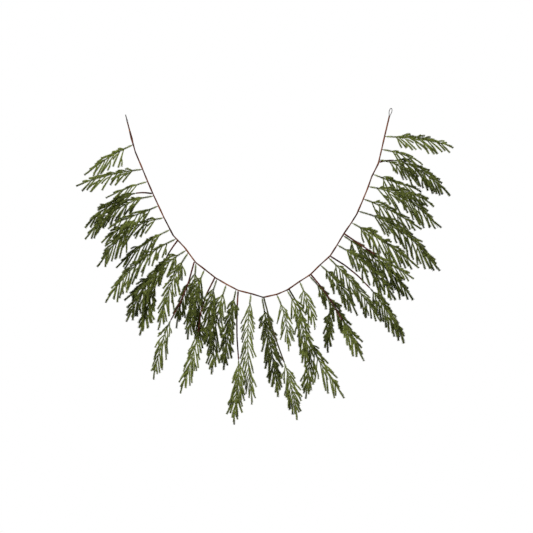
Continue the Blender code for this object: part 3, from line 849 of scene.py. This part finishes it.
def dress_stem(stem, material):
    """The paper tape: a strip wound in a helix, whose overlaps stand out as steps, and its thicker ends."""
    first = TAPE[0][0] * MM
    line, spots = resample(stem.points, PAPER_STEP)
    line = smoothed(line, PAPER_ROUNDS)
    keep = (spots >= first) & (spots <= stem.length - first)
    line, spots = line[keep], spots[keep]
    below = np.minimum(spots, stem.length - spots)
    knots = [t[0] * MM for t in TAPE] + [TAPE_END, stem.length]
    right = spots > stem.length / 2
    slow, fast = (np.sin(math.tau * spots / wave) for wave in STEM_WAVES)
    swell = 1 + STEM_UNEVEN * slow * fast
    plain = [WRAP_RADIUS * PAPER_THICKER] * 2
    wide, deep = (np.interp(below, knots, [t[k] * MM for t in TAPE] + plain) * swell for k in (1, 2))
    wide[right & (below < TAPE_END)] = RIGHT_TAPE
    along, _, _ = carried_frames(line)
    over = np.tile(np.array([0.0, 1.0, 0.0]), (len(line), 1))
    across = np.cross(over, along)
    angles = np.arange(PAPER_SIDES) / PAPER_SIDES
    phase = (spots[:, None] / LAP_PITCH + angles[None]) % 1.0
    lap = 1.0 + LAP_HEIGHT * (phase - 0.5)
    waves = np.sin(math.tau * (spots[:, None] / WRINKLE_PITCH - WRINKLE_SKEW * angles[None]))
    wrinkle = 1.0 + WRINKLE * waves
    pieces = Pieces()
    corners, faces = tube(line, lap * wrinkle, PAPER_SIDES, (along, across, over), (wide, deep))
    shade = TINT * np.exp(-((below - TINT_AT) / TINT_RUN) ** 2) * np.where(right, RIGHT_TINT, 1.0)
    # Painted highlight: the orange glint on the left tape takes the top of the tone
    shade = np.where(abs(spots - GLINT_AT) < GLINT_RUN, 1.0, shade)
    shade = np.r_[np.repeat(shade, PAPER_SIDES), END_TINT, END_TINT]
    pieces.add(corners, faces, 0, shade)
    piece = pieces.finish("stem_wrap_paper", [material], smooth_slots=(0,))
    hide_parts("stem_wrap_left", "stem_wrap_right")
    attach(piece, "root")


def dress_loop(name, stem, right_end, turn, material):
    radius = LOOP_WIRE_RADIUS * WIRE_THICKER
    one_side = []
    for below, half_width in reversed(LOOP_OUTLINE):
        below = max(below * MM, radius)
        centre, _, across = stem.frame(stem.length - below if right_end else below)
        part_turned = turn * min(1.0, max(0.0, (LOOP_HEIGHT - below) / TURNING_RUN))
        side = across * math.cos(part_turned) + Vector((0, math.sin(part_turned), 0))
        one_side.append((centre, side * half_width * MM))
    points = [centre + out for centre, out in one_side]
    points += [centre - out for centre, out in reversed(one_side[:-1])]
    line, _ = resample(points, WIRE_STEP)
    line = smoothed(line, WIRE_ROUNDS)
    pieces = Pieces()
    corners, faces = tube(line, np.full(len(line), radius), WIRE_SIDES)
    pieces.add(corners, faces)
    piece = pieces.finish(f"{name}_wire", [material], smooth_slots=(0,))
    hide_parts(name)
    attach(piece, "root")


# Materials

def new_material(name, roughness, metallic=0.0, specular=0.4):
    made = bpy.data.materials.new(name)
    made.use_nodes = True
    nodes, links = made.node_tree.nodes, made.node_tree.links
    shader = nodes["Principled BSDF"]
    shader.inputs["Roughness"].default_value = roughness
    shader.inputs["Metallic"].default_value = metallic
    shader.inputs["Specular IOR Level"].default_value = specular
    return made, nodes, links, shader


def noise(nodes, links, scale, detail=3.0, roughness=0.55):
    """A noise field in the object's own metres."""
    place = nodes.new("ShaderNodeTexCoord")
    field = nodes.new("ShaderNodeTexNoise")
    field.inputs["Scale"].default_value = scale
    field.inputs["Detail"].default_value = detail
    field.inputs["Roughness"].default_value = roughness
    links.new(place.outputs["Object"], field.inputs["Vector"])
    return field.outputs["Fac"]


def ramp(nodes, links, value, stops):
    made = nodes.new("ShaderNodeValToRGB")
    for element, (place, colour) in zip(made.color_ramp.elements, (stops[0], stops[-1])):
        element.position, element.color = place, (*colour, 1.0)
    for place, colour in stops[1:-1]:
        made.color_ramp.elements.new(place).color = (*colour, 1.0)
    links.new(value, made.inputs["Fac"])
    return made.outputs["Color"]


def mixed(nodes, links, first, second, amount):
    """Two colours mixed by the amount, which is a socket. Each colour is a socket or a plain value."""
    made = nodes.new("ShaderNodeMix")
    made.data_type = "RGBA"
    a, b = [s for s in made.inputs if s.type == "RGBA"][:2]
    for socket, value in ((a, first), (b, second), (made.inputs[0], amount)):
        if isinstance(value, bpy.types.NodeSocket):
            links.new(value, socket)
        else:
            socket.default_value = (*value, 1.0)
    return next(s for s in made.outputs if s.type == "RGBA")


def maths(nodes, links, operation, first, second=0.0):
    made = nodes.new("ShaderNodeMath")
    made.operation = operation
    for socket, value in zip(made.inputs, (first, second)):
        if isinstance(value, bpy.types.NodeSocket):
            links.new(value, socket)
        else:
            socket.default_value = value
    return made.outputs[0]


def bumped(nodes, links, shader, height, strength, distance):
    bump = nodes.new("ShaderNodeBump")
    bump.inputs["Strength"].default_value = strength
    bump.inputs["Distance"].default_value = distance
    links.new(height, bump.inputs["Height"])
    links.new(bump.outputs["Normal"], shader.inputs["Normal"])


def tone_of(nodes):
    made = nodes.new("ShaderNodeAttribute")
    made.attribute_name = "tone"
    return made.outputs["Fac"]


def spread(nodes, links, field, amount):
    """The field's swing about its middle value, this many times as large."""
    return maths(nodes, links, "MULTIPLY", maths(nodes, links, "SUBTRACT", field, 0.5), amount)


def needle_material():
    made, nodes, links, shader = new_material("green_plastic_needles", 0.7, specular=0.12)
    # The tone carries painted shade on cores, stalks, rachis needles and needle feet, and a painted
    # highlight on needle points, besides its random strays
    tone = tone_of(nodes)
    for scale, amount in ((14.0, 0.5), (110.0, 1.1), (260.0, 0.3)):
        field = noise(nodes, links, scale, detail=2.0)
        tone = maths(nodes, links, "ADD", tone, spread(nodes, links, field, amount))
    colour = ramp(nodes, links, tone, (
        (0.00, (0.022, 0.027, 0.005)),
        (0.28, (0.098, 0.117, 0.023)),
        (0.60, (0.198, 0.236, 0.049)),
        (0.95, (0.330, 0.395, 0.100)),
    ))
    links.new(colour, shader.inputs["Base Color"])
    return made


def stalk_material():
    made, nodes, links, shader = new_material("olive_stalk", 0.7, specular=0.15)
    colour = ramp(nodes, links, noise(nodes, links, 60.0), (
        (0.3, (0.020, 0.028, 0.008)),
        (0.5, (0.036, 0.050, 0.013)),
        (0.7, (0.056, 0.070, 0.021)),
    ))
    links.new(colour, shader.inputs["Base Color"])
    bumped(nodes, links, shader, noise(nodes, links, 500.0), strength=0.3, distance=0.4 * MM)
    return made


def paper_material():
    made, nodes, links, shader = new_material("brown_paper_tape", 0.85, specular=0.2)
    patch = noise(nodes, links, 15.0, detail=2.0)
    fine = noise(nodes, links, 420.0, detail=4.0, roughness=0.65)
    level = maths(nodes, links, "ADD", maths(nodes, links, "MULTIPLY", patch, 0.8),
                  maths(nodes, links, "MULTIPLY", fine, 0.2))
    colour = ramp(nodes, links, level, (
        (0.38, (0.020, 0.005, 0.002)),
        (0.50, (0.092, 0.023, 0.007)),
        (0.62, (0.235, 0.084, 0.036)),
    ))
    tone = tone_of(nodes)
    # Tones up to 0.85 tint the paper dark red; tones near 1 give the painted highlight, the orange glint on
    # the left tape
    tint = ramp(nodes, links, tone, (
        (0.85, (0.060, 0.012, 0.004)),
        (0.97, (0.300, 0.100, 0.020)),
    ))
    ends = mixed(nodes, links, colour, tint, maths(nodes, links, "MULTIPLY", tone, 0.8))
    links.new(ends, shader.inputs["Base Color"])
    bumped(nodes, links, shader, fine, strength=0.6, distance=0.5 * MM)
    return made


def bark_material():
    made, nodes, links, shader = new_material("brown_twig", 0.8, specular=0.25)
    patch = noise(nodes, links, 30.0)
    colour = ramp(nodes, links, patch, (
        (0.36, (0.024, 0.005, 0.003)),
        (0.50, (0.074, 0.014, 0.007)),
        (0.64, (0.150, 0.040, 0.022)),
    ))
    shown = mixed(nodes, links, colour, GREEN_BARK, tone_of(nodes))
    links.new(shown, shader.inputs["Base Color"])
    fine = noise(nodes, links, 350.0, detail=4.0, roughness=0.65)
    bumped(nodes, links, shader, fine, strength=0.6, distance=0.6 * MM)
    return made


def wire_material():
    made, nodes, links, shader = new_material("dull_loop_wire", 0.55, metallic=0.4, specular=0.3)
    colour = ramp(nodes, links, noise(nodes, links, 220.0), (
        (0.35, (0.012, 0.008, 0.006)),
        (0.50, (0.030, 0.020, 0.016)),
        (0.70, (0.080, 0.060, 0.050)),
    ))
    links.new(colour, shader.inputs["Base Color"])
    fine = noise(nodes, links, 900.0, detail=2.0)
    bumped(nodes, links, shader, fine, strength=0.25, distance=0.2 * MM)
    return made


# Stage

def add_camera():
    camera = bpy.data.cameras.new("camera")
    camera.sensor_width = SENSOR
    camera.lens = SENSOR * CAMERA_DISTANCE / VIEW_WIDTH
    camera.clip_end = FARTHEST_SEEN
    obj = bpy.data.objects.new("camera", camera)
    obj.location = (VIEW_CENTRE[0], -CAMERA_DISTANCE, VIEW_CENTRE[1])
    obj.rotation_euler = (math.radians(90), 0, 0)
    bpy.context.collection.objects.link(obj)
    bpy.context.scene.camera = obj


def add_light(name, place, size, power):
    light = bpy.data.lights.new(name, "AREA")
    light.shape = "DISK"
    light.size = size
    light.energy = power
    obj = bpy.data.objects.new(name, light)
    obj.location = place
    aim = Vector((VIEW_CENTRE[0], 0, VIEW_CENTRE[1])) - Vector(place)
    obj.rotation_euler = aim.to_track_quat("-Z", "Y").to_euler()
    bpy.context.collection.objects.link(obj)


def add_floor():
    ring = []
    for k in range(FLOOR_SIDES):
        angle = math.tau * k / FLOOR_SIDES
        x = VIEW_CENTRE[0] + FLOOR_RADIUS * math.cos(angle)
        ring.append((x, FLOOR_RADIUS * math.sin(angle), FLOOR_LEVEL))
    mesh = bpy.data.meshes.new("floor")
    mesh.from_pydata(ring, [], [tuple(range(FLOOR_SIDES))])
    made, nodes, links, shader = new_material("pale_floor", 0.9, specular=0.1)
    colour = ramp(nodes, links, noise(nodes, links, 3.0, detail=2.0), (
        (0.3, (0.80, 0.80, 0.79)),
        (0.7, (0.86, 0.86, 0.85)),
    ))
    links.new(colour, shader.inputs["Base Color"])
    mesh.materials.append(made)
    obj = bpy.data.objects.new("floor", mesh)
    bpy.context.collection.objects.link(obj)


def add_studio():
    world = bpy.data.worlds.new("studio")
    world.use_nodes = True
    nodes, links = world.node_tree.nodes, world.node_tree.links
    backdrop = nodes["Background"]
    backdrop.inputs["Color"].default_value = (1, 1, 1, 1)
    dome = nodes.new("ShaderNodeBackground")
    dome.inputs["Color"].default_value = (1, 1, 1, 1)
    dome.inputs["Strength"].default_value = DOME_STRENGTH
    seen = nodes.new("ShaderNodeLightPath")
    both = nodes.new("ShaderNodeMixShader")
    links.new(seen.outputs["Is Camera Ray"], both.inputs["Fac"])
    links.new(dome.outputs["Background"], both.inputs[1])
    links.new(backdrop.outputs["Background"], both.inputs[2])
    links.new(both.outputs["Shader"], nodes["World Output"].inputs["Surface"])
    bpy.context.scene.world = world
    bpy.context.scene.view_settings.view_transform = "Standard"
    for light in LIGHTS:
        add_light(*light)
    add_floor()


def main():
    add_camera()
    add_studio()
    needles, stalk = needle_material(), stalk_material()
    paper, bark, wire = paper_material(), bark_material(), wire_material()
    stem = Stem()
    dress_stem(stem, paper)
    dress_loop("loop_left", stem, False, LEFT_LOOP_TURN, wire)
    dress_loop("loop_right", stem, True, 0.0, wire)
    core = bpy.data.objects["stem_wire"]
    for material_slot in core.material_slots:
        material_slot.material = wire
    for node, (out, end_x, end_z, layer) in TWIGS.items():
        way = heading(out)
        start = off_stem(stem, node, 0, way, TWIG_RADIUS)
        path = bent_path(start, way, table_point(end_x, end_z), layer, TWIG_BENDS, TWIG_LEAD)
        dress_twig(node, path, bark, np.random.default_rng(SEED * 100 + node))
        end, way = path[-1], (path[-1] - path[-2]).normalized()
        tip_x, tip_z, widest, forks = TIP_SPRAYS[node]
        tip = table_point(tip_x, tip_z) + Vector((0, end.y, 0))
        spray = bent_path(end + way * GAP, way, tip, 0, SPRAY_RUNS, TIP_SPRAY_LEAD)
        limbs = plan_spray(spray, way, TIP_SPRAY_BARE, widest, forks, random.Random(TIP_SEED + node))
        rng = np.random.default_rng(TIP_SEED * 100 + node)
        dress_spray(f"tip_spray_{node:02d}", limbs, [needles, stalk], rng)
    for number, plan in enumerate(SPRAYS):
        name, node, shift, out, tip_x, tip_z, layer, bare, widest, forks = plan
        way = heading(out)
        start = off_stem(stem, node, shift, way, RACHIS_HALF)
        path = bent_path(start, way, table_point(tip_x, tip_z), layer, SPRAY_RUNS, SPRAY_LEAD)
        limbs = plan_spray(path, way, bare, widest, forks, random.Random(SEED + node))
        rng = np.random.default_rng(SEED * 1000 + number)
        dress_spray(name, limbs, [needles, stalk], rng)


main()
